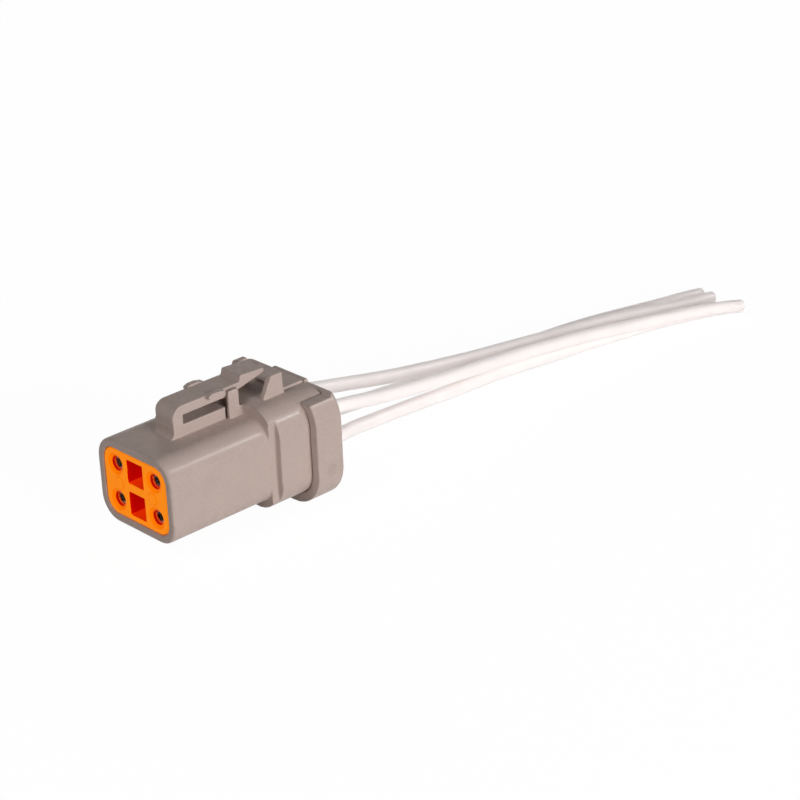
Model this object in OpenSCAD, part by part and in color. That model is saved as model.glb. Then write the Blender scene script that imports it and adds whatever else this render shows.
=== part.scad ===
// Sealed four-way rectangular plug on four cut leads.
// X runs across the plug, Y from the mating face towards the leads and Z up. Lengths are in millimetres.
// The origin lies under the middle of the plug, on the surface that it rests on.

/* [Contacts] */
// Distance between the two columns of contacts
pitch_x = 6.4; // [6.2:0.05:6.8]
// Distance between the two rows of contacts
pitch_z = 4.19; // [4:0.01:4.4]
// Bore of a socket, for the pin of the mating half
socket_bore = 1.06; // [0.9:0.02:1.1]
// Outside diameter of a socket's spring fingers
socket_od = 1.44; // [1.3:0.02:1.5]
// Depth of the pin bore
socket_depth = 5.6; // [4.5:0.1:6]
// Outside diameter of the steel hood over the spring fingers
hood_od = 1.9; // [1.86:0.02:2]
// Wall of the steel hood
hood_wall = 0.16; // [0.12:0.01:0.18]
// Diameter of the locking collar on a contact
collar_od = 2.4; // [2.3:0.05:2.5]
// Length of the locking collar
collar_len = 0.8; // [0.6:0.1:1.2]
// Outside diameter of the crimp barrel
barrel_od = 1.8; // [1.7:0.05:2]
// Bore of the crimp barrel
crimp_bore = 1.2; // [1.1:0.02:1.3]
// Distance from the mating face to the front of the hoods
hood_front = 0.7; // [0.6:0.1:1.2]
// Distance from the mating face to the locking collars
collar_y = 8.2; // [8:0.1:9]

/* [Nose] */
// Width of the nose
nose_w = 12.4; // [12.2:0.1:13]
// Height of the nose
nose_h = 9.75; // [9.6:0.05:10.2]
// Radius of the nose's long corners
nose_r = 2.65; // [2.2:0.05:3]
// Length of the nose, from the mating face to the stop rib
nose_len = 13.4; // [13:0.1:15]
// Wall of the nose
nose_wall = 0.95; // [0.8:0.05:1]
// Rounding of the nose's front edge
nose_edge = 0.35; // [0.2:0.05:0.4]

/* [Body] */
// Length of the stop rib behind the nose
rib_len = 0.85; // [0.6:0.05:1.2]
// Width of the body behind the rib
body_w = 14; // [13.8:0.1:14.4]
// Height of the body and of the rib
body_h = 11.7; // [11.5:0.1:12]
// Height of the body's middle above the middle of the contacts
body_lift = 0.2; // [0.1:0.05:0.25]
// Radius of the body's long corners
body_r = 3.2; // [2.9:0.1:3.5]
// Length of the body behind the rib
body_len = 7.3; // [7:0.1:7.6]
// Wall of the seal chamber
body_wall = 1.1; // [0.9:0.05:1.2]
// Thickness of the bulkhead that the contacts pass through
bulkhead = 2.8; // [2.4:0.1:3]
// Diameter of the contact cavities in the bulkhead
cavity_d = 2.6; // [2.55:0.05:2.8]
// Thickness of a contact locking finger
finger_t = 0.5; // [0.4:0.05:0.55]
// Height of a contact locking finger
finger_h = 1.3; // [1:0.1:1.6]

/* [Wedge lock] */
// Thickness of the wedge lock's front plate
wedge_plate = 2.4; // [2.2:0.1:2.8]
// Distance of the wedge lock's face behind the nose's front edge
wedge_recess = 0.1; // [0:0.05:0.3]
// Diameter of a pin hole in the wedge lock
pin_hole = 1.55; // [1.4:0.05:1.7]
// Diameter of the lead-in round a pin hole
funnel_d = 2.5; // [2.2:0.1:2.8]
// Depth of the lead-in
funnel_depth = 0.28; // [0.1:0.02:0.3]
// Width of the tool windows
window_w = 2.7; // [2.4:0.05:2.75]
// Height of the tool windows
window_h = 2.8; // [2.4:0.05:3]
// Bar between the two tool windows
window_bar = 0.95; // [0.7:0.05:1.2]
// Depth of the tool windows
window_depth = 4.2; // [3.5:0.1:6]
// Width of the tongue that keeps the locking fingers shut
tongue_w = 3.3; // [3.2:0.05:3.4]
// Distance that the tongue reaches in behind the mating face
tongue_reach = 11.6; // [10:0.1:12]

/* [Latch] */
// Width of the latch arm
arm_w = 3.1; // [2.8:0.1:3.2]
// Thickness of the latch arm
arm_t = 1.1; // [0.9:0.05:1.2]
// Height of the slot under the latch arm
slot_h = 1.1; // [1:0.05:1.3]
// Height of the fixed rail on the nose, under the slot
rail_h = 1.3; // [1.2:0.05:1.5]
// Distance from the mating face to the front of the latch
latch_front = 4.5; // [4:0.1:5]
// Thickness of the latch's front leg
leg_t = 1.35; // [1.2:0.05:1.5]
// Length of the fixed rail
rail_len = 7; // [6.6:0.1:7.1]
// Diameter of the round root that the latch turns on
root_d = 1; // [0.8:0.05:1.1]
// Length of the latch from its front to the rear edge of the thumb pad
latch_len = 12.75; // [12.5:0.05:13]
// Radius of the upright corners of the latch and its rail
latch_r = 0.3; // [0.2:0.05:0.5]
// Length of the raised thumb pad
pad_len = 3.4; // [3.2:0.1:3.6]
// Height of the thumb pad above the arm
pad_rise = 0.7; // [0.5:0.05:0.9]
// Thickness of the thumb pad's rear edge
pad_edge = 0.45; // [0.35:0.05:0.5]
// Fall of the thumb pad's top towards its rear edge
pad_fall = 0.2; // [0.1:0.05:0.3]
// Reach of a locking tab from the side of the arm
tab_reach = 0.6; // [0.5:0.05:0.7]
// Length of a locking tab
tab_len = 2.35; // [2:0.05:2.6]
// Height of a locking tab's back above the arm
tab_rise = 0.22; // [0.1:0.02:0.3]
// Distance from the latch's front to the rear of the locking tabs
tab_end = 6.8; // [6.5:0.05:6.9]
// Gap between the locking tabs and the guide posts
post_gap = 0.3; // [0.28:0.02:0.5]
// Thickness of a guide post beside the arm
post_t = 0.45; // [0.4:0.05:0.6]
// Length of a guide post
post_len = 1.45; // [1.2:0.05:1.5]
// Height of a guide post above the nose
post_h = 3.2; // [3:0.05:3.3]
// Height of the guide posts' feet, which run back to the rib
post_foot = 1.1; // [0.9:0.05:1.15]
// Gap between the latch arm and a guard fin
fin_gap = 0.95; // [0.8:0.05:1.1]
// Thickness of a guard fin
fin_t = 0.7; // [0.6:0.05:0.9]
// Height of a guard fin above the body
fin_h = 2.45; // [2.2:0.05:2.8]
// Length of a guard fin at its foot
fin_foot = 3; // [2.8:0.05:3.2]
// Length of a guard fin at its top
fin_top = 1.55; // [1.2:0.05:1.8]

/* [Seal retainer] */
// Wall of the retainer's skirt
skirt_wall = 1.1; // [1:0.05:1.2]
// Length of the retainer
retainer_len = 3.9; // [3.6:0.1:4.2]
// Thickness of the retainer's rear plate
retainer_plate = 0.7; // [0.65:0.05:0.9]
// Depth of the skirt's top edge below the body's top
skirt_drop = 0.45; // [0.3:0.05:0.6]
// Rounding of the retainer's rear edge
skirt_edge = 0.6; // [0.4:0.05:0.65]
// Diameter of a wire hole in the rear plate
wire_hole = 2.3; // [2:0.1:2.6]
// Height of the land on the body, between the fins and the rear plate
land_h = 0.25; // [0.1:0.05:0.3]
// Width of the land and of the raised lip on the rear plate
lip_w = 5.4; // [4.8:0.1:5.6]
// Height of the raised lip
lip_h = 0.35; // [0.25:0.05:0.5]
// Thickness of the raised lip
lip_t = 0.6; // [0.5:0.05:0.65]
// Radius of the snap bead on the body's sides
bead_r = 0.22; // [0.18:0.01:0.28]
// Length of the snap bead
bead_len = 5; // [4:0.1:5.4]
// Diameter of the round mould mark on each side of the retainer
mark_d = 1.4; // [1:0.1:1.5]
// Depth of the mould marks
mark_depth = 0.04; // [0.03:0.01:0.06]

/* [Rear seal] */
// Number of sealing ribs round the rear seal
seal_ribs = 3; // [2:1:4]
// Height of a sealing rib
seal_rib_h = 0.35; // [0.2:0.05:0.5]
// Length of a sealing rib
seal_rib_len = 0.8; // [0.6:0.05:0.9]

/* [Leads] */
// Outside diameter of a lead
wire_od = 1.64; // [1.5:0.01:1.64]
// Diameter of a lead's copper core
core_d = 0.96; // [0.85:0.01:1.1]
// Clearance of a core inside its sheath
core_gap = 0.02; // [0.01:0.01:0.03]

/* [Fits] */
// Clearance between pieces that fit into each other
fit_gap = 0.05; // [0.03:0.01:0.08]
// Clearance between the latch and what it moves past
move_gap = 0.12; // [0.1:0.01:0.15]

/* [Hidden] */
$fn = 48;
eps = 0.1;

// Places along the plug, counted from the mating face
body_y = nose_len + rib_len;
body_end = body_y + body_len;
chamber_end = nose_len - nose_wall;
seal_y = chamber_end + bulkhead;
retainer_end = body_end + fit_gap + retainer_plate;
skirt_y = retainer_end - retainer_len;
plug_len = retainer_end;
barrel_end = seal_y - fit_gap;
finger_y = collar_y + collar_len + fit_gap;

// Heights, counted from the middle of the contacts
axis_h = body_h / 2 - body_lift + fit_gap + skirt_wall;
nose_top = nose_h / 2;
body_top = body_h / 2 + body_lift;
rail_top = nose_top + rail_h;
arm_bottom = rail_top + slot_h;
arm_top = arm_bottom + arm_t;
pad_top = arm_top + pad_rise;
skirt_top = body_top - skirt_drop;
plate_top = body_top - skirt_drop / 2;

// Places that follow from the fits
wedge_w = nose_w - 2 * nose_wall - 2 * fit_gap;
wedge_h = nose_h - 2 * nose_wall - 2 * fit_gap;
wedge_r = nose_r - nose_wall;
skirt_w = body_w + 2 * fit_gap + 2 * skirt_wall;
skirt_h = body_h + 2 * fit_gap + 2 * skirt_wall;
root_y = latch_front + leg_t / 2;
root_z = rail_top + root_d / 5;
post_x = arm_w / 2 + move_gap;
post_y = latch_front + tab_end + post_gap;
fin_x = arm_w / 2 + fin_gap;
fin_end = skirt_y;
pad_y = latch_front + latch_len - pad_len;
tab_y = latch_front + tab_end - tab_len;

// Contacts 1 and 2 are the upper row and 3 and 4 the lower, each from left to right
places = [for (sz = [1, -1], sx = [-1, 1]) [sx * pitch_x / 2, sz * pitch_z / 2]];

// Free run of each lead behind the plug: across, along and height above the surface
cord_sides = 8;
rest_h = wire_od / 2;
runs = [
    [[-3.2, 12.5, 8.8], [-3, 16, 8.2], [-2.5, 21, 7.35], [-1.6, 27, 6.5], [-0.8, 33, 5.85], [-0.3, 39, 5.2],
     [-0.1, 45, 4.55], [0, 51, 3.85], [0, 57, 3.1], [0.2, 63, 2.4], [0.7, 69, 1.65], [1.4, 74, 1.1],
     [1.9, 77, 0.9], [2.6, 80, rest_h]],
    [[3.2, 12.5, 8.8], [3.2, 16, 8.35], [3.2, 21, 7.5], [3.1, 27, 6.7], [3, 33, 6], [2.9, 39, 5.4],
     [2.8, 45, 4.75], [2.8, 51, 4.05], [3, 57, 3.3], [3.4, 63, 2.5], [4.2, 69, 1.9], [5.8, 74, 1.75],
     [7.1, 77, 1.6], [8.2, 79, 1.5]],
    [[-3.2, 12.5, 4.65], [-3.2, 16, 4.5], [-3, 21, 4.3], [-2.8, 27, 3.9], [-2.6, 33, 3.5], [-2.5, 39, 3.1],
     [-2.5, 45, 2.75], [-2.5, 51, 2.45], [-2.5, 57, 2.05], [-2.4, 63, 1.5], [-1.8, 69, 1], [-0.8, 74, rest_h],
     [-0.1, 77, rest_h], [0.8, 80, rest_h]],
    [[3.2, 12.5, 4.75], [3.2, 16, 5.05], [3.1, 21, 4.85], [2.9, 27, 4.45], [2.8, 33, 4], [2.6, 39, 3.65],
     [2.4, 45, 3.1], [2.2, 51, 2.4], [2, 57, 1.8], [2.1, 63, 1.25], [2.8, 69, 0.9], [4.2, 74, rest_h],
     [5.3, 77, rest_h], [6.6, 79.5, rest_h]]
];

// Point of a lead on the axis of contact i, at a distance from the mating face
function on_axis(i, along) = [places[i][0], along - plug_len / 2, axis_h + places[i][1]];
function lead_path(i, start) = concat([on_axis(i, start), on_axis(i, plug_len)], runs[i]);

// Sweep of an eight-sided section along a path
function unit(v) = v / norm(v);
function heading(path, i) = unit(path[min(i + 1, len(path) - 1)] - path[max(i - 1, 0)]);
function ring(path, i, r) =
    let (t = heading(path, i), s = unit(cross(t, [0, 0, 1])), u = cross(s, t))
    [for (k = [0 : cord_sides - 1]) let (a = 360 * k / cord_sides) path[i] + r * (cos(a) * s + sin(a) * u)];
function rings(path, r) = [for (i = [0 : len(path) - 1]) each ring(path, i, r)];
function at(i, k) = i * cord_sides + k % cord_sides;
function outer_faces(n) =
    [for (i = [0 : n - 2], k = [0 : cord_sides - 1]) [at(i, k), at(i, k + 1), at(i + 1, k + 1), at(i + 1, k)]];

module rod(path, d) {
    n = len(path);
    start = [for (k = [cord_sides - 1 : -1 : 0]) at(0, k)];
    end = [for (k = [0 : cord_sides - 1]) at(n - 1, k)];
    polyhedron(rings(path, d / 2), concat(outer_faces(n), [start, end]), convexity = 6);
}

module tube(path, od, bore) {
    n = len(path);
    m = n * cord_sides;
    inner = [for (f = outer_faces(n)) [for (j = [3 : -1 : 0]) f[j] + m]];
    start = [for (k = [0 : cord_sides - 1]) [at(0, k), at(0, k) + m, at(0, k + 1) + m, at(0, k + 1)]];
    end = [for (k = [0 : cord_sides - 1]) let (e = n - 1) [at(e, k), at(e, k + 1), at(e, k + 1) + m, at(e, k) + m]];
    points = concat(rings(path, od / 2), rings(path, bore / 2));
    polyhedron(points, concat(outer_faces(n), inner, start, end), convexity = 6);
}

// Frame of the plug: Y from the mating face, heights from the middle of the contacts
module plug_frame() {
    translate([0, -plug_len / 2, axis_h]) children();
}

// Flat shape across the plug, drawn as width and height, from one distance to another
module across(y0, y1) {
    translate([0, y1, 0]) rotate([90, 0, 0]) linear_extrude(y1 - y0) children();
}

// Side view, drawn as distance and height, with a width centred on x
module side_on(w, x = 0) {
    translate([x - w / 2, 0, 0]) rotate([90, 0, 90]) linear_extrude(w) children();
}

// Lathe form about the axis of contact i, drawn as radius and distance
module turned(i) {
    translate([places[i][0], 0, places[i][1]]) rotate([-90, 0, 0]) rotate_extrude() children();
}

module round_rect(w, h, r) {
    square([w, h - 2 * r], center = true);
    square([w - 2 * r, h], center = true);
    for (sx = [-1, 1], sz = [-1, 1])
        translate([sx * (w / 2 - r), sz * (h / 2 - r)]) circle(r);
}

// Outline of the body, grown all round
module body_outline(grow = 0) {
    translate([0, body_lift]) round_rect(body_w + 2 * grow, body_h + 2 * grow, body_r + grow);
}

// Front end of a bar in side view, with both corners rounded
module eased_end(len, h, edge) {
    translate([edge, -h / 2]) square([len - edge, h]);
    translate([0, edge - h / 2]) square([len, h - 2 * edge]);
    for (s = [-1, 1]) translate([edge, s * (h / 2 - edge)]) circle(edge);
}

// Bar along the plug with round long corners and an eased front edge
module eased_bar(w, h, r, len, edge) {
    side_on(w - 2 * r) eased_end(len, h, edge);
    translate([0, 0, r - h / 2]) linear_extrude(h - 2 * r) rotate(90) eased_end(len, w, edge);
    for (sx = [-1, 1], sz = [-1, 1])
        translate([sx * (w / 2 - r), 0, sz * (h / 2 - r)]) rotate([-90, 0, 0]) rotate_extrude() {
            translate([0, edge]) square([r, len - edge]);
            square([r - edge, len]);
            translate([r - edge, edge]) circle(edge);
        }
}

module at_contacts() {
    for (p = places) translate([p[0], 0, p[1]]) children();
}

module hole(d, y0, y1) {
    translate([0, y0, 0]) rotate([-90, 0, 0]) cylinder(d = d, h = y1 - y0);
}

// Upright post with round corners in plan, as wide as the latch
module latch_plan(len, z0, z1) {
    translate([0, latch_front + len / 2, z0]) linear_extrude(z1 - z0) round_rect(arm_w, len, latch_r);
}

// Fixed foot of the latch: rail with the round seat of the root, and the guide posts
module latch_base() {
    sunk = nose_wall / 2;
    difference() {
        latch_plan(rail_len, nose_top - sunk, rail_top);
        translate([0, root_y, root_z]) rotate([0, 90, 0])
            cylinder(d = root_d + 2 * fit_gap, h = arm_w + 2 * eps, center = true);
    }
    for (s = [-1, 1]) {
        side_on(post_t, s * (post_x + post_t / 2)) {
            translate([post_y, nose_top - sunk]) square([post_len, post_h + sunk]);
            translate([post_y, nose_top - sunk]) square([body_y - post_y, post_foot + sunk]);
        }
    }
}

// Guard fins beside the thumb pad and the low land behind them
module latch_guard() {
    sunk = body_wall / 2;
    foot_y = fin_end - fin_foot;
    rear_lean = (fin_foot - fin_top) / 10;
    for (s = [-1, 1])
        side_on(fin_t, s * (fin_x + fin_t / 2)) polygon([
            [foot_y, body_top - sunk],
            [foot_y, body_top],
            [fin_end - rear_lean - fin_top, body_top + fin_h],
            [fin_end - rear_lean, body_top + fin_h],
            [fin_end, body_top],
            [fin_end, body_top - sunk]
        ]);
    side_on(lip_w) translate([fin_end, body_top - sunk]) square([body_end - fin_end, sunk + land_h]);
}

module housing() {
    color([0.62, 0.57, 0.54]) plug_frame() {
        difference() {
            union() {
                eased_bar(nose_w, nose_h, nose_r, nose_len + rib_len / 2, nose_edge);
                across(nose_len, body_y) intersection() {
                    body_outline();
                    square([nose_w, 2 * body_h], center = true);
                }
                across(body_y, body_end) body_outline();
                for (s = [-1, 1])
                    translate([s * body_w / 2, body_end - bead_len / 5, -bead_len / 2]) cylinder(r = bead_r, h = bead_len);
            }
            across(-eps, chamber_end)
                round_rect(nose_w - 2 * nose_wall, nose_h - 2 * nose_wall, nose_r - nose_wall);
            at_contacts() hole(cavity_d, chamber_end - eps, seal_y + eps);
            across(seal_y, body_end + eps) body_outline(-body_wall);
        }
        for (sx = [-1, 1], sz = [-1, 1])
            translate([sx * (tongue_w / 2 + fit_gap + finger_t / 2), 0, sz * pitch_z / 2])
                across(finger_y, chamber_end + eps) square([finger_t, finger_h], center = true);
        latch_base();
        latch_guard();
    }
}

module release_latch() {
    leg_foot = rail_top + move_gap;
    arm_y = latch_front + leg_t;
    bend_z = arm_top - leg_t;
    latch_end = latch_front + latch_len;
    slope_y = pad_y - pad_len / 2;
    pad_rear = pad_top - pad_fall;
    root_w = arm_w - latch_r / 2;
    tab_under = arm_bottom + arm_t / 2;
    tab_top = arm_top + tab_rise;
    color([0.62, 0.57, 0.54]) plug_frame() {
        // Leg, arm and thumb pad in side view, with round corners in plan
        intersection() {
            side_on(arm_w) {
                translate([latch_front, leg_foot]) square([leg_t, bend_z - leg_foot]);
                intersection() {
                    translate([arm_y, bend_z]) circle(leg_t);
                    translate([latch_front, bend_z]) square(leg_t);
                }
                translate([arm_y, arm_bottom]) square([slope_y - arm_y, arm_t]);
                polygon([
                    [slope_y - eps, arm_bottom],
                    [slope_y, arm_bottom],
                    [latch_end, pad_rear - pad_edge],
                    [latch_end, pad_rear],
                    [pad_y, pad_top],
                    [pad_y - pad_rise / 3, arm_top],
                    [slope_y - eps, arm_top]
                ]);
            }
            latch_plan(latch_len, leg_foot - eps, pad_top + eps);
        }
        // Round root
        translate([0, root_y, root_z]) rotate([0, 90, 0]) cylinder(d = root_d, h = root_w, center = true);
        // Neck between the root and the leg
        side_on(root_w) translate([root_y - root_d / 4, root_z]) square([root_d / 2, leg_foot - root_z + eps]);
        // Locking tabs: barbs with a ramp at the front and a flat catch face at the rear
        for (s = [-1, 1])
            side_on(tab_reach + eps, s * (arm_w + tab_reach - eps) / 2) polygon([
                [tab_y, arm_top - arm_t / 4],
                [tab_y + tab_len / 4, tab_under],
                [tab_y + tab_len, tab_under],
                [tab_y + tab_len, arm_top],
                [tab_y + 0.6 * tab_len, tab_top],
                [tab_y + tab_len / 4, tab_top],
                [tab_y, arm_top]
            ]);
    }
}

// Everything behind a distance from the mating face, up to a height
module behind(y0, top) {
    translate([-skirt_w, y0, -skirt_h]) cube([2 * skirt_w, plug_len, skirt_h + top]);
}

module seal_retainer() {
    skirt_r = body_r + fit_gap + skirt_wall;
    lip_top = plate_top + lip_h;
    color([0.62, 0.57, 0.54]) plug_frame() {
        difference() {
            union() {
                intersection() {
                    translate([0, retainer_end, body_lift]) rotate([0, 0, 180])
                        eased_bar(skirt_w, skirt_h, skirt_r, retainer_len, skirt_edge);
                    union() {
                        behind(skirt_y - eps, skirt_top);
                        behind(body_end + fit_gap, plate_top);
                    }
                }
                across(retainer_end - lip_t, retainer_end) translate([-lip_w / 2, 0]) square([lip_w, lip_top]);
            }
            across(skirt_y - eps, body_end + fit_gap) body_outline(fit_gap);
            for (s = [-1, 1])
                translate([s * skirt_w / 2, retainer_end - retainer_len / 2, -body_h / 5]) rotate([0, 90, 0])
                    cylinder(d = mark_d, h = 2 * mark_depth, center = true);
            for (s = [-1, 1])
                translate([s * (body_w / 2), body_end - bead_len / 5, -bead_len / 2 - fit_gap])
                    cylinder(r = bead_r + fit_gap, h = bead_len + 2 * fit_gap);
            at_contacts() hole(wire_hole, body_end, retainer_end + eps);
        }
    }
}

module wedge_lock() {
    window_z = (window_h + window_bar) / 2;
    back_y = wedge_recess + wedge_plate;
    color([1, 0.5, 0.05]) plug_frame() {
        difference() {
            union() {
                translate([0, wedge_recess, 0]) eased_bar(wedge_w, wedge_h, wedge_r, wedge_plate, nose_edge / 2);
                across(back_y - eps, tongue_reach) square([tongue_w, wedge_h], center = true);
            }
            at_contacts() hole(pin_hole, -eps, back_y + eps);
            at_contacts() translate([0, wedge_recess, 0]) rotate([-90, 0, 0])
                cylinder(d1 = funnel_d, d2 = pin_hole, h = funnel_depth);
            at_contacts() hole(hood_od + 2 * fit_gap, hood_front - fit_gap, back_y + eps);
            for (s = [-1, 1])
                translate([0, 0, s * window_z])
                    across(-eps, window_depth) square([window_w, window_h], center = true);
        }
    }
}

module rear_seal() {
    bore_gap = body_wall + fit_gap;
    y0 = seal_y + fit_gap;
    rib_step = (body_end - y0 - seal_rib_len) / (seal_ribs - 1);
    color([0.85, 0.3, 0.12]) plug_frame()
        difference() {
            union() {
                across(y0, body_end) body_outline(-bore_gap - seal_rib_h);
                for (k = [0 : seal_ribs - 1])
                    across(y0 + k * rib_step, y0 + k * rib_step + seal_rib_len) body_outline(-bore_gap);
            }
            at_contacts() hole(wire_od + 2 * fit_gap, y0 - eps, body_end + eps);
        }
}

module contact(i) {
    tip_y = hood_front + hood_wall + fit_gap;
    neck_y = tip_y + socket_depth;
    crimp_y = collar_y + collar_len + 1.5 * barrel_od;
    color([0.78, 0.76, 0.72]) plug_frame()
        turned(i) difference() {
            union() {
                translate([0, tip_y]) square([socket_od / 2, collar_y - tip_y + eps]);
                translate([0, neck_y]) square([barrel_od / 2, barrel_end - neck_y]);
                translate([0, collar_y]) square([collar_od / 2, collar_len]);
            }
            translate([0, tip_y - eps]) square([socket_bore / 2, socket_depth + eps]);
            translate([0, crimp_y]) square([crimp_bore / 2, barrel_end - crimp_y + eps]);
        }
}

module contact_hood(i) {
    hood_end = hood_front + hood_wall + socket_depth;
    color([0.83, 0.83, 0.84]) plug_frame()
        turned(i) {
            translate([hood_od / 2 - hood_wall, hood_front]) square([hood_wall, hood_end - hood_front]);
            translate([socket_bore / 2 + fit_gap, hood_front])
                square([hood_od / 2 - hood_wall / 2 - socket_bore / 2 - fit_gap, hood_wall]);
        }
}

module wire(i) {
    color([0.97, 0.96, 0.94]) tube(lead_path(i, seal_y), wire_od, core_d + 2 * core_gap);
}

module conductor(i) {
    color([0.75, 0.45, 0.3]) rod(lead_path(i, collar_y + collar_len + 2 * barrel_od), core_d);
}

housing();
release_latch();
seal_retainer();
wedge_lock();
rear_seal();
for (i = [0 : 3]) {
    contact(i);
    contact_hood(i);
    wire(i);
    conductor(i);
}
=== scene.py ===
"""Looks of a sealed four-way plug on four cut leads."""

import math

import bmesh
import bpy
from mathutils import Matrix, Vector


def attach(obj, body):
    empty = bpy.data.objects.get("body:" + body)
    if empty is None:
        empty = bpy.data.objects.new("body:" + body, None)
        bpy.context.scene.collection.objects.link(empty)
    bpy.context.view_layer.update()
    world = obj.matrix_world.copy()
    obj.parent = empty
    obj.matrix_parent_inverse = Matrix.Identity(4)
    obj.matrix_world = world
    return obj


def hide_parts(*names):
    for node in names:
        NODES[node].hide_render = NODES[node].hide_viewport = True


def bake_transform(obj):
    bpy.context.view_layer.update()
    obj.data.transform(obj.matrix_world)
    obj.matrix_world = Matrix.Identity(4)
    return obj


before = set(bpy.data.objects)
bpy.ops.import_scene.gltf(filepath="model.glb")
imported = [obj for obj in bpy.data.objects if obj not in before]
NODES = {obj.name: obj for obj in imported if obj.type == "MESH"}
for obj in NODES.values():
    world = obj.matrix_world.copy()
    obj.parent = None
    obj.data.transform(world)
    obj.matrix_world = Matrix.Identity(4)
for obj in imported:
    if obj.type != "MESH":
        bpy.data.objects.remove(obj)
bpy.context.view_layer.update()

MM = 0.001
LEADS = (1, 2, 3, 4)

# Sizes of the plug, in millimetres
PLUG_LEN = 22.3
AXIS_H = 6.8
PITCH_X = 6.4
PITCH_Z = 4.19
NOSE_TOP = 4.875
RAIL_H = 1.3
ARM_W = 3.1
LATCH_FRONT = 4.5
LEG_T = 1.35
RAIL_LEN = 7.0
WIRE_OD = 1.64
CORE_D = 0.96
WEDGE_RECESS = 0.1
WINDOW_W = 2.7
WINDOW_H = 2.8
WINDOW_BAR = 0.95
WINDOW_DEPTH = 4.2
BODY_H = 11.7
SKIRT_W = 16.3
RETAINER_LEN = 3.9
SIDE_MARK_D = 1.4
SIDE_MARK_DEPTH = 0.05
SIDE_MARK_RIM = 0.12
PIN_HOLE = 1.55
FUNNEL_D = 2.5
FUNNEL_DEPTH = 0.28
FACE_MARK_X = 2.75
FACE_MARK_D = 1.4
FACE_MARK_H = 0.05
FACE_MARK_RIM = 0.07
RECESS_EASE = 0.08
LEDGE_SLOPE = 0.6

# Photograph's camera
CAMERA_AZIMUTH = 47.28
CAMERA_ELEVATION = 24.97
CAMERA_ROLL = -2.41
CAMERA_AIM = (16.45, 11.88, 14.40)
CAMERA_DISTANCE = 251.19
CAMERA_LENS = 108
SENSOR_WIDTH = 36


def along(u):
    """Place along the plug, counted from the mating face."""
    return u - PLUG_LEN / 2


def add_camera():
    az = math.radians(CAMERA_AZIMUTH)
    el = math.radians(CAMERA_ELEVATION)
    roll = math.radians(CAMERA_ROLL)
    back = Vector((math.sin(az) * math.cos(el), -math.cos(az) * math.cos(el), math.sin(el)))
    level = Vector((math.cos(az), math.sin(az), 0))
    upright = back.cross(level)
    right = level * math.cos(roll) + upright * math.sin(roll)
    up = back.cross(right)
    data = bpy.data.cameras.new("camera")
    data.lens = CAMERA_LENS
    data.sensor_width = SENSOR_WIDTH
    data.clip_start = 0.01
    camera = bpy.data.objects.new("camera", data)
    bpy.context.scene.collection.objects.link(camera)
    turn = Matrix((right, up, back)).transposed().to_4x4()
    place = (Vector(CAMERA_AIM) + back * CAMERA_DISTANCE) * MM
    camera.matrix_world = Matrix.Translation(place) @ turn
    bpy.context.scene.camera = camera


# Materials, with the sizes of their detail in millimetres

MOTTLE_SIZE = 2.2
SPECK_SIZE = 0.2
SPECK_SHARE = 0.7
GRAIN_SIZE = 0.16
PLASTIC_GLOSS_SIZE = 0.9
PLASTIC_GLOSS_RANGE = 0.03
SHEATH_CLOUD_SIZE = 3.5
SHEATH_CLOUD = 0.03
SHEATH_GLOSS_SIZE = 1.2
SHEATH_GLOSS_RANGE = 0.05
SHEATH_SHINE = 0.06
SHEATH_SCATTER = 1.6
# Painted light: strength of the sheath's own glow.
SHEATH_PAINTED_GLOW = 0.24
SHEATH_WAVE_SIZE = 0.5
SHEATH_WAVE_DEPTH = 0.006
METAL_GRAIN_DEPTH = 0.004
RUBBER_CLOUD_SIZE = 1.5
RUBBER_GLOSS_SIZE = 0.6
RUBBER_GRAIN_SIZE = 0.1
RUBBER_GRAIN_DEPTH = 0.01
FINE_DETAIL = 2.0
NOISE_LOW = 0.33
NOISE_HIGH = 0.67


def new_material(name):
    material = bpy.data.materials.new(name)
    material.use_nodes = True
    tree = material.node_tree
    return material, tree, tree.nodes["Principled BSDF"]


def noise_at(tree, size_mm, detail=3.0):
    """Noise whose grains measure about size_mm."""
    place = tree.nodes.new("ShaderNodeTexCoord")
    noise = tree.nodes.new("ShaderNodeTexNoise")
    noise.inputs["Scale"].default_value = 1 / (size_mm * MM)
    noise.inputs["Detail"].default_value = detail
    tree.links.new(place.outputs["Object"], noise.inputs["Vector"])
    return noise.outputs["Fac"]


def spread_to(tree, value, low, high):
    """Noise widened from its middle third to the range from low to high."""
    span = tree.nodes.new("ShaderNodeMapRange")
    span.inputs["From Min"].default_value = NOISE_LOW
    span.inputs["From Max"].default_value = NOISE_HIGH
    span.inputs["To Min"].default_value = low
    span.inputs["To Max"].default_value = high
    tree.links.new(value, span.inputs["Value"])
    return span.outputs["Result"]


def shade_between(tree, value, dark, light):
    ramp = tree.nodes.new("ShaderNodeValToRGB")
    ramp.color_ramp.elements[0].color = (*dark, 1)
    ramp.color_ramp.elements[1].color = (*light, 1)
    tree.links.new(value, ramp.inputs["Fac"])
    return ramp.outputs["Color"]


def bump(tree, shader, height, depth_mm):
    node = tree.nodes.new("ShaderNodeBump")
    node.inputs["Strength"].default_value = 1.0
    node.inputs["Distance"].default_value = depth_mm * MM
    tree.links.new(height, node.inputs["Height"])
    tree.links.new(node.outputs["Normal"], shader.inputs["Normal"])


def tinted(colour, factor):
    return tuple(min(1.0, c * factor) for c in colour)


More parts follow.
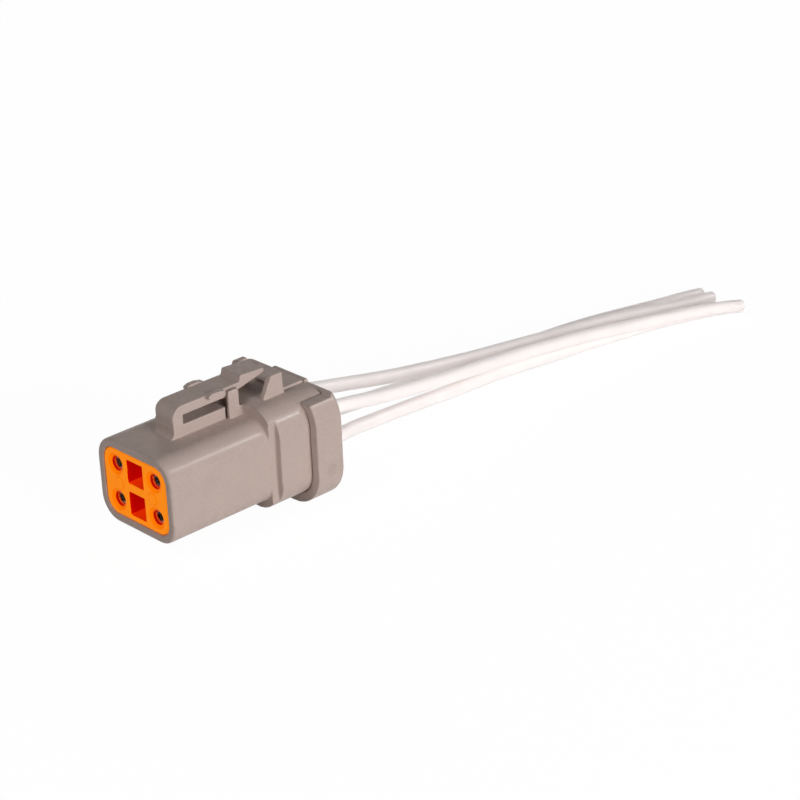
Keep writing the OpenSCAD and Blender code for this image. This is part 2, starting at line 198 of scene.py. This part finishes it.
def moulded_plastic(name, colour, rough=0.5, grain_depth=0.005, mottle=0.02, shine=0.03, glow=0.0):
    """Moulded plastic: a fine grain, specks, faint mottling, uneven gloss and any painted light, a glow
    in its own colour.
    """
    material, tree, shader = new_material(name)
    shade = tree.nodes.new("ShaderNodeMix")
    shade.inputs["Factor"].default_value = SPECK_SHARE
    clouds = noise_at(tree, MOTTLE_SIZE, 5.0)
    specks = noise_at(tree, SPECK_SIZE, FINE_DETAIL)
    tree.links.new(spread_to(tree, clouds, 0, 1), shade.inputs["A"])
    tree.links.new(spread_to(tree, specks, 0, 1), shade.inputs["B"])
    dark = tinted(colour, 1 - mottle)
    light = tinted(colour, 1 + mottle)
    tree.links.new(shade_between(tree, shade.outputs["Result"], dark, light), shader.inputs["Base Color"])
    patches = noise_at(tree, PLASTIC_GLOSS_SIZE)
    gloss = spread_to(tree, patches, rough - PLASTIC_GLOSS_RANGE, rough + PLASTIC_GLOSS_RANGE)
    tree.links.new(gloss, shader.inputs["Roughness"])
    shader.inputs["Specular IOR Level"].default_value = shine
    # Painted light: a glow in the plastic's own colour, though it is no lamp.
    shader.inputs["Emission Color"].default_value = (*colour, 1)
    shader.inputs["Emission Strength"].default_value = glow
    bump(tree, shader, noise_at(tree, GRAIN_SIZE, FINE_DETAIL), grain_depth)
    return material


def sheath_plastic(name, colour, rough):
    """Extruded sheath: smooth and milky, with faint clouds and waves, and a painted glow in its own
    colour.
    """
    material, tree, shader = new_material(name)
    cloud = spread_to(tree, noise_at(tree, SHEATH_CLOUD_SIZE, 4.0), 0, 1)
    base = shade_between(tree, cloud, tinted(colour, 1 - SHEATH_CLOUD), tinted(colour, 1 + SHEATH_CLOUD))
    tree.links.new(base, shader.inputs["Base Color"])
    patches = noise_at(tree, SHEATH_GLOSS_SIZE)
    gloss = spread_to(tree, patches, rough - SHEATH_GLOSS_RANGE, rough + SHEATH_GLOSS_RANGE)
    tree.links.new(gloss, shader.inputs["Roughness"])
    shader.inputs["Specular IOR Level"].default_value = SHEATH_SHINE
    shader.inputs["Subsurface Weight"].default_value = 1.0
    shader.inputs["Subsurface Radius"].default_value = (1.0, 1.0, 1.0)
    shader.inputs["Subsurface Scale"].default_value = SHEATH_SCATTER * MM
    # Painted light: the sheath glows in its own colour, lifting its shaded sides, though it is no lamp.
    shader.inputs["Emission Color"].default_value = (*colour, 1)
    shader.inputs["Emission Strength"].default_value = SHEATH_PAINTED_GLOW
    bump(tree, shader, noise_at(tree, SHEATH_WAVE_SIZE, FINE_DETAIL), SHEATH_WAVE_DEPTH)
    return material


def metal(name, colour, rough, grain_mm):
    """Plated or drawn metal with fine uneven gloss."""
    material, tree, shader = new_material(name)
    shader.inputs["Metallic"].default_value = 1.0
    cloud = spread_to(tree, noise_at(tree, 4 * grain_mm), 0, 1)
    base = shade_between(tree, cloud, tinted(colour, 0.92), tinted(colour, 1.04))
    tree.links.new(base, shader.inputs["Base Color"])
    gloss = spread_to(tree, noise_at(tree, grain_mm), rough - 0.06, rough + 0.08)
    tree.links.new(gloss, shader.inputs["Roughness"])
    bump(tree, shader, noise_at(tree, grain_mm, FINE_DETAIL), METAL_GRAIN_DEPTH)
    return material


def rubber(name, colour):
    """Moulded rubber: dull, with faint clouds and a fine grain."""
    material, tree, shader = new_material(name)
    cloud = spread_to(tree, noise_at(tree, RUBBER_CLOUD_SIZE, 4.0), 0, 1)
    base = shade_between(tree, cloud, tinted(colour, 0.9), tinted(colour, 1.08))
    tree.links.new(base, shader.inputs["Base Color"])
    gloss = spread_to(tree, noise_at(tree, RUBBER_GLOSS_SIZE), 0.55, 0.7)
    tree.links.new(gloss, shader.inputs["Roughness"])
    bump(tree, shader, noise_at(tree, RUBBER_GRAIN_SIZE, FINE_DETAIL), RUBBER_GRAIN_DEPTH)
    return material


GREY_COLOUR = (0.472, 0.377, 0.338)
GREY_SHINE = 0.035
GREY = moulded_plastic("grey_plastic", GREY_COLOUR, rough=0.27, mottle=0.06, shine=GREY_SHINE)
MARK_COLOUR = tinted(GREY_COLOUR, 0.92)
GREY_MARK = moulded_plastic("grey_mark", MARK_COLOUR, rough=0.3, mottle=0.07, shine=GREY_SHINE)
# Painted light: the orange plastics glow in their own colour, though they are no lamps.
ORANGE = moulded_plastic("orange_plastic", (1.0, 0.26, 0.004), rough=0.45, shine=0.05, glow=0.45)
# Painted shade: deeper red, with a faint painted glow, on the walls and backs of the wedge's windows and
# pin holes.
ORANGE_RECESS_SHADE = moulded_plastic("orange_recess_painted_shade", (0.8, 0.004, 0.0), glow=0.1)
# Painted shade: deeper orange, with a painted glow, on the rims of the pin holes' funnels and of the face
# marks.
ORANGE_RIM_SHADE = moulded_plastic("orange_rim_painted_shade", (1.0, 0.2, 0.0), glow=0.42)
# Painted shade on the windows' floors, painted lighter than on the walls where the floors face up to the
# light, with a painted glow.
ORANGE_LEDGE_LIGHT_AND_SHADE = moulded_plastic("orange_ledge_painted_light_and_shade", (0.95, 0.05, 0.0), glow=0.22)
WHITE = sheath_plastic("white_sheath", (0.765, 0.71, 0.695), rough=0.4)
SEAL = rubber("seal_rubber", (0.6, 0.13, 0.05))
NICKEL = metal("contact_nickel", (0.72, 0.69, 0.62), rough=0.26, grain_mm=0.2)
STEEL = metal("hood_steel", (0.78, 0.78, 0.79), rough=0.22, grain_mm=0.15)
COPPER = metal("copper", (0.72, 0.34, 0.2), rough=0.3, grain_mm=0.1)


# Moulded pieces, in millimetres

FOOT_FILLET = ((0.45, 0.06), (0.27, 0.16), (0.14, 0.32), (0.07, 0.5))
RAIL_COVER = 0.03
BLOCK_SINK = 0.3
LEG_COVER = 0.4
VOXEL = 0.09
WEDGE_VOXEL = 0.06
LATCH_VOXEL = 0.055
EASE_STEPS = 7
WEDGE_STEPS = 4
LATCH_STEPS = 8
EASE_FACTOR = 0.5
EVEN_WEIGHT = 50
HOUSING_FACES = 180000
RETAINER_FACES = 90000
WEDGE_FACES = 110000
LATCH_FACES = 80000
WELD = 0.0005


def new_object(name, mesh, material):
    mesh.name = name
    mesh.materials.clear()
    mesh.materials.append(material)
    piece = bpy.data.objects.new(name, mesh)
    bpy.context.scene.collection.objects.link(piece)
    return piece


def cad_copy(node):
    """Copy of a CAD node's mesh in millimetres, as a closed bmesh."""
    shape = bmesh.new()
    shape.from_mesh(NODES[node].data)
    bmesh.ops.scale(shape, vec=Vector((1, 1, 1)) / MM, verts=shape.verts)
    bmesh.ops.remove_doubles(shape, verts=shape.verts, dist=WELD)
    return shape


def add_block(shape, low, high):
    size = Vector(high) - Vector(low)
    middle = (Vector(high) + Vector(low)) / 2
    bmesh.ops.create_cube(shape, size=1, matrix=Matrix.Translation(middle) @ Matrix.Diagonal((*size, 1)))


def eased(shape, name, material, faces, voxel=VOXEL, steps=EASE_STEPS, press=None):
    """Piece with its edges and corners eased, as a mould leaves them, and any marks pressed in."""
    mesh = bpy.data.meshes.new(name)
    shape.to_mesh(mesh)
    shape.free()
    piece = new_object(name, mesh, material)
    remesh = piece.modifiers.new("remesh", "REMESH")
    remesh.mode = "VOXEL"
    remesh.voxel_size = voxel
    remesh.adaptivity = 0
    ease = piece.modifiers.new("ease", "SMOOTH")
    ease.factor = EASE_FACTOR
    ease.iterations = steps
    apply_modifiers(piece)
    if press:
        press(piece.data)
    thin = piece.modifiers.new("thin", "DECIMATE")
    thin.ratio = min(1.0, faces / (2 * len(piece.data.polygons)))
    even = piece.modifiers.new("even_shading", "WEIGHTED_NORMAL")
    even.weight = EVEN_WEIGHT
    apply_modifiers(piece)
    piece.data.transform(Matrix.Scale(MM, 4))
    piece.data.materials.clear()
    piece.data.materials.append(material)
    piece.data.polygons.foreach_set("use_smooth", [True] * len(piece.data.polygons))
    return piece


def apply_modifiers(piece):
    depsgraph = bpy.context.evaluated_depsgraph_get()
    mesh = bpy.data.meshes.new_from_object(piece.evaluated_get(depsgraph))
    piece.modifiers.clear()
    old = piece.data
    piece.data = mesh
    bpy.data.meshes.remove(old)


def moulded(node, name, faces, press=None):
    """Grey moulding that stands for a node of the plug's body."""
    piece = eased(cad_copy(node), name, GREY, faces, press=press)
    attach(piece, "connector")
    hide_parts(node)
    return piece


def in_side_mark(point):
    """Share, from 0 to 1, by which a point lies in the round mark on the retainer's side."""
    if abs(point.x) < SKIRT_W / 2 - SIDE_MARK_D / 4:
        return 0
    away = math.hypot(point.y - along(PLUG_LEN - RETAINER_LEN / 2), point.z - AXIS_H + BODY_H / 5)
    return min(1, max(0, (SIDE_MARK_D / 2 - away) / SIDE_MARK_RIM))


def press_side_marks(mesh):
    for vertex in mesh.vertices:
        vertex.co.x -= math.copysign(SIDE_MARK_DEPTH * in_side_mark(vertex.co), vertex.co.x)


def add_retainer():
    piece = moulded("seal_retainer", "retainer_cap", RETAINER_FACES, press_side_marks)
    piece.data.materials.append(GREY_MARK)
    for polygon in piece.data.polygons:
        if in_side_mark(polygon.center / MM) > 0:
            polygon.material_index = 1


def shade_recesses(piece):
    """Painted shade: deeper colour inside the wedge lock's windows and pin holes, less deep on the
    windows' floors where they face up to the light, and deeper orange on the rims of the funnels and face
    marks.
    """
    face_y = along(WEDGE_RECESS + RECESS_EASE)
    back_y = along(WINDOW_DEPTH)
    for material in (ORANGE_RECESS_SHADE, ORANGE_LEDGE_LIGHT_AND_SHADE, ORANGE_RIM_SHADE):
        piece.data.materials.append(material)
    for polygon in piece.data.polygons:
        x, y, z = polygon.center / MM
        up = abs(z - AXIS_H)
        in_window = abs(x) < WINDOW_W / 2 + RECESS_EASE and WINDOW_BAR / 2 - RECESS_EASE < up
        in_window = in_window and up < WINDOW_BAR / 2 + WINDOW_H + RECESS_EASE
        from_hole = math.hypot(abs(x) - PITCH_X / 2, up - PITCH_Z / 2)
        in_hole = from_hole < PIN_HOLE / 2 + RECESS_EASE
        # Painted shade on the walls and backs of the windows and holes.
        if face_y < y < back_y + RECESS_EASE and (in_window or in_hole):
            # Floors that face up take the lighter painted shade, as if lit from above.
            polygon.material_index = 2 if in_window and polygon.normal.z > LEDGE_SLOPE else 1
        # Painted shade on the rims of the funnels and face marks.
        in_funnel = PIN_HOLE / 2 + RECESS_EASE < from_hole < FUNNEL_D / 2
        on_ring = abs(math.hypot(abs(x) - FACE_MARK_X, up) - FACE_MARK_D / 2) < FACE_MARK_RIM
        if (in_funnel or on_ring) and y < along(FUNNEL_DEPTH + WEDGE_RECESS + RECESS_EASE):
            polygon.material_index = 3


def add_wedge():
    """Wedge lock, with the two round marks of the mould on its face."""
    shape = cad_copy("wedge_lock")
    upright = Matrix.Rotation(math.pi / 2, 4, "X")
    depth = 1.0
    for side in (-1, 1):
        place = Vector((side * FACE_MARK_X, along(WEDGE_RECESS) - FACE_MARK_H + depth / 2, AXIS_H))
        bmesh.ops.create_cone(
            shape,
            cap_ends=True,
            segments=48,
            radius1=FACE_MARK_D / 2,
            radius2=FACE_MARK_D / 2,
            depth=depth,
            matrix=Matrix.Translation(place) @ upright,
        )
    piece = eased(shape, "wedge_body", ORANGE, WEDGE_FACES, WEDGE_VOXEL, WEDGE_STEPS)
    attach(piece, "wedge")
    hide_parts("wedge_lock")
    shade_recesses(piece)


def add_latch():
    """Latch and its rail, moulded as one, with the front leg between the housing and the latch."""
    nose_top = AXIS_H + NOSE_TOP
    rail_top = nose_top + RAIL_H
    half = ARM_W / 2
    front = along(LATCH_FRONT)
    shape = cad_copy("release_latch")
    add_block(
        shape,
        (-half - RAIL_COVER, front - RAIL_COVER, nose_top - BLOCK_SINK),
        (half + RAIL_COVER, front + RAIL_LEN + RAIL_COVER, rail_top + RAIL_COVER),
    )
    add_block(shape, (-half, front, rail_top - BLOCK_SINK), (half, front + LEG_T, rail_top + LEG_COVER))
    for reach, rise in FOOT_FILLET:
        low = (-half, front - reach, nose_top - BLOCK_SINK)
        add_block(shape, low, (half, front + LEG_T, nose_top + rise))
    piece = eased(shape, "latch_spring", GREY, LATCH_FACES, LATCH_VOXEL, LATCH_STEPS)
    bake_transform(piece)
    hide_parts("release_latch")


# Leads, in millimetres: across, along and height above the surface
REST_H = WIRE_OD / 2
LEAD_RUNS = {
    1: [(-3.2, 12.5, 8.8), (-3, 16, 8.2), (-2.5, 21, 7.35), (-1.6, 27, 6.5), (-0.8, 33, 5.85),
        (-0.3, 39, 5.2), (-0.1, 45, 4.55), (0, 51, 3.85), (0, 57, 3.1), (0.2, 63, 2.4),
        (0.7, 69, 1.65), (1.4, 74, 1.1), (1.9, 77, 0.9), (2.6, 80, REST_H)],
    2: [(3.2, 12.5, 8.8), (3.2, 16, 8.35), (3.2, 21, 7.5), (3.1, 27, 6.7), (3, 33, 6),
        (2.9, 39, 5.4), (2.8, 45, 4.75), (2.8, 51, 4.05), (3, 57, 3.3), (3.4, 63, 2.5),
        (4.2, 69, 1.9), (5.8, 74, 1.75), (7.1, 77, 1.6), (8.2, 79, 1.5)],
    3: [(-3.2, 12.5, 4.65), (-3.2, 16, 4.5), (-3, 21, 4.3), (-2.8, 27, 3.9), (-2.6, 33, 3.5),
        (-2.5, 39, 3.1), (-2.5, 45, 2.75), (-2.5, 51, 2.45), (-2.5, 57, 2.05), (-2.4, 63, 1.5),
        (-1.8, 69, 1), (-0.8, 74, REST_H), (-0.1, 77, REST_H), (0.8, 80, REST_H)],
    4: [(3.2, 12.5, 4.75), (3.2, 16, 5.05), (3.1, 21, 4.85), (2.9, 27, 4.45), (2.8, 33, 4),
        (2.6, 39, 3.65), (2.4, 45, 3.1), (2.2, 51, 2.4), (2, 57, 1.8), (2.1, 63, 1.25),
        (2.8, 69, 0.9), (4.2, 74, REST_H), (5.3, 77, REST_H), (6.6, 79.5, REST_H)],
}
LEAD_INSIDE = 2.2
END_EASE = 0.2
END_RADIUS = 0.9
CURVE_STEPS = 10
TUBE_STEPS = 6
STRAND_RINGS = ((0, 1), (1, 6), (2, 12))
STRAND_SIDES = 8
STRAND_R = CORE_D / 10
STRAND_PROUD = 0.05
STRAND_INSIDE = 1.2
STRAND_TWIST = math.radians(25)
STRAND_STEPS = (
    (-STRAND_INSIDE, 1.0),
    (-STRAND_INSIDE / 2, 1.0),
    (0, 1.0),
    (STRAND_PROUD * 0.7, 0.9),
    (STRAND_PROUD, 0.6),
)


def contact_place(lead):
    side = 1 if lead % 2 == 0 else -1
    row = 1 if lead < 3 else -1
    return side * PITCH_X / 2, AXIS_H + row * PITCH_Z / 2


def lead_points(lead):
    x, z = contact_place(lead)
    rear = PLUG_LEN / 2
    return [Vector(p) for p in [(x, rear - LEAD_INSIDE, z), (x, rear, z), *LEAD_RUNS[lead]]]


def add_lead(lead):
    points = lead_points(lead)
    heading = (points[-1] - points[-2]).normalized()
    points.insert(-1, points[-1] - heading * END_EASE)
    data = bpy.data.curves.new(f"lead_{lead}", "CURVE")
    data.dimensions = "3D"
    data.resolution_u = CURVE_STEPS
    data.bevel_depth = WIRE_OD / 2 * MM
    data.bevel_resolution = TUBE_STEPS
    data.use_fill_caps = True
    spline = data.splines.new("BEZIER")
    spline.bezier_points.add(len(points) - 1)
    for knot, point in zip(spline.bezier_points, points):
        knot.co = point * MM
        knot.handle_left_type = "AUTO"
        knot.handle_right_type = "AUTO"
    spline.bezier_points[-1].radius = END_RADIUS
    data.materials.append(WHITE)
    piece = bpy.data.objects.new(f"lead_{lead}", data)
    bpy.context.scene.collection.objects.link(piece)
    strands = add_strands(lead, points[-1], heading)
    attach(piece, "connector")
    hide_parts(f"wire_{lead}")


def add_strands(lead, end, heading):
    """Cut end of a stranded copper core, standing just proud of its sheath."""
    across = heading.cross(Vector((0, 0, 1))).normalized()
    upward = across.cross(heading)
    shape = bmesh.new()
    for ring, count in STRAND_RINGS:
        for k in range(count):
            add_strand(shape, end, heading, across, upward, 2 * STRAND_R * ring, 2 * math.pi * k / count)
    mesh = bpy.data.meshes.new(f"strands_{lead}")
    bmesh.ops.recalc_face_normals(shape, faces=shape.faces)
    shape.to_mesh(mesh)
    shape.free()
    mesh.transform(Matrix.Scale(MM, 4))
    mesh.polygons.foreach_set("use_smooth", [True] * len(mesh.polygons))
    piece = new_object(f"strands_{lead}", mesh, COPPER)
    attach(piece, "connector")
    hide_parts(f"conductor_{lead}")
    return piece


def add_strand(shape, end, heading, across, upward, off_axis, angle):
    """One twisted strand, at a distance from the core's axis, with its tip rounded."""
    loops = []
    for depth, share in STRAND_STEPS:
        turn = angle + STRAND_TWIST * depth / STRAND_INSIDE
        outward = math.cos(turn) * across + math.sin(turn) * upward
        centre = end + heading * depth + off_axis * outward
        loop = []
        for j in range(STRAND_SIDES):
            a = 2 * math.pi * j / STRAND_SIDES
            rim = math.cos(a) * across + math.sin(a) * upward
            loop.append(shape.verts.new(centre + STRAND_R * share * rim))
        loops.append(loop)
    for one, two in zip(loops, loops[1:]):
        for j in range(STRAND_SIDES):
            k = (j + 1) % STRAND_SIDES
            shape.faces.new((one[j], one[k], two[k], two[j]))
    shape.faces.new(loops[0])
    shape.faces.new(loops[-1])


def finish_cad(names, material):
    for name in names:
        mesh = NODES[name].data
        mesh.materials.clear()
        mesh.materials.append(material)


# Stage and light, in metres and watts

FLOOR_REACH = 2.0
FLOOR_SHADE = 0.75
FLOOR_WHITE = 1.04
FLOOR_WHITE_SHARE = 0.93
AMBIENT = 0.04
LAMP_AIM = (0, 0.01, 0.007)


def add_floor():
    """Pale floor, nearly white where it is seen, with the object's shadow on it."""
    mesh = bpy.data.meshes.new("floor")
    corners = [(x * FLOOR_REACH, y * FLOOR_REACH, 0) for x, y in ((-1, -1), (1, -1), (1, 1), (-1, 1))]
    mesh.from_pydata(corners, [], [(0, 1, 2, 3)])
    material, tree, shader = new_material("floor")
    shader.inputs["Base Color"].default_value = (FLOOR_SHADE, FLOOR_SHADE, FLOOR_SHADE, 1)
    shader.inputs["Roughness"].default_value = 0.9
    white = tree.nodes.new("ShaderNodeEmission")
    white.inputs["Strength"].default_value = FLOOR_WHITE
    mix = tree.nodes.new("ShaderNodeMixShader")
    seen = seen_directly(tree)
    share = tree.nodes.new("ShaderNodeMath")
    share.operation = "MULTIPLY"
    share.inputs[1].default_value = FLOOR_WHITE_SHARE
    tree.links.new(seen, share.inputs[0])
    tree.links.new(share.outputs[0], mix.inputs["Fac"])
    tree.links.new(shader.outputs["BSDF"], mix.inputs[1])
    tree.links.new(white.outputs["Emission"], mix.inputs[2])
    tree.links.new(mix.outputs["Shader"], tree.nodes["Material Output"].inputs["Surface"])
    floor = new_object("floor", mesh, material)


def seen_directly(tree):
    """1 for rays from the camera, and for those that metal or glass turns aside."""
    path = tree.nodes.new("ShaderNodeLightPath")
    total = path.outputs["Is Camera Ray"]
    for ray in ("Is Glossy Ray", "Is Transmission Ray"):
        larger = tree.nodes.new("ShaderNodeMath")
        larger.operation = "MAXIMUM"
        tree.links.new(total, larger.inputs[0])
        tree.links.new(path.outputs[ray], larger.inputs[1])
        total = larger.outputs[0]
    return total


def add_world():
    """White surroundings that add only a little light."""
    world = bpy.data.worlds.new("world")
    world.use_nodes = True
    tree = world.node_tree
    background = tree.nodes["Background"]
    background.inputs["Color"].default_value = (1, 1, 1, 1)
    level = tree.nodes.new("ShaderNodeMapRange")
    level.inputs["To Min"].default_value = AMBIENT
    level.inputs["To Max"].default_value = 1.0
    tree.links.new(seen_directly(tree), level.inputs["Value"])
    tree.links.new(level.outputs["Result"], background.inputs["Strength"])
    bpy.context.scene.world = world


def add_lamp(name, place, size, power, diffuse=True, glint=True):
    """Round soft lamp turned to the plug, for diffuse light, glints or both."""
    data = bpy.data.lights.new(name, "AREA")
    data.shape = "DISK"
    data.size = size
    data.energy = power
    lamp = bpy.data.objects.new(name, data)
    bpy.context.scene.collection.objects.link(lamp)
    lamp.location = place
    lamp.visible_diffuse = diffuse
    lamp.visible_glossy = glint
    lamp.rotation_euler = (Vector(LAMP_AIM) - Vector(place)).to_track_quat("-Z", "Y").to_euler()


def add_lights():
    add_lamp("key", (0.645, 0.02, 0.13), size=0.4, power=4.0)
    add_lamp("rim", (0.36, 0.42, 0.4), size=0.05, power=7.0, diffuse=False)
    add_lamp("front", (0.16, -0.68, 0.1), size=0.35, power=0.6)
    add_lamp("top", (0.0, -0.42, 0.58), size=0.2, power=1.1)
    add_lamp("fill", (-0.55, 0.36, 0.02), size=0.3, power=2.4, glint=False)


add_camera()
for lead in LEADS:
    add_lead(lead)
moulded("housing", "housing_shell", HOUSING_FACES)
add_retainer()
add_wedge()
add_latch()
finish_cad(["rear_seal"], SEAL)
finish_cad([f"contact_{lead}" for lead in LEADS], NICKEL)
finish_cad([f"contact_hood_{lead}" for lead in LEADS], STEEL)
add_floor()
add_world()
add_lights()
bpy.context.scene.view_settings.view_transform = "Standard"
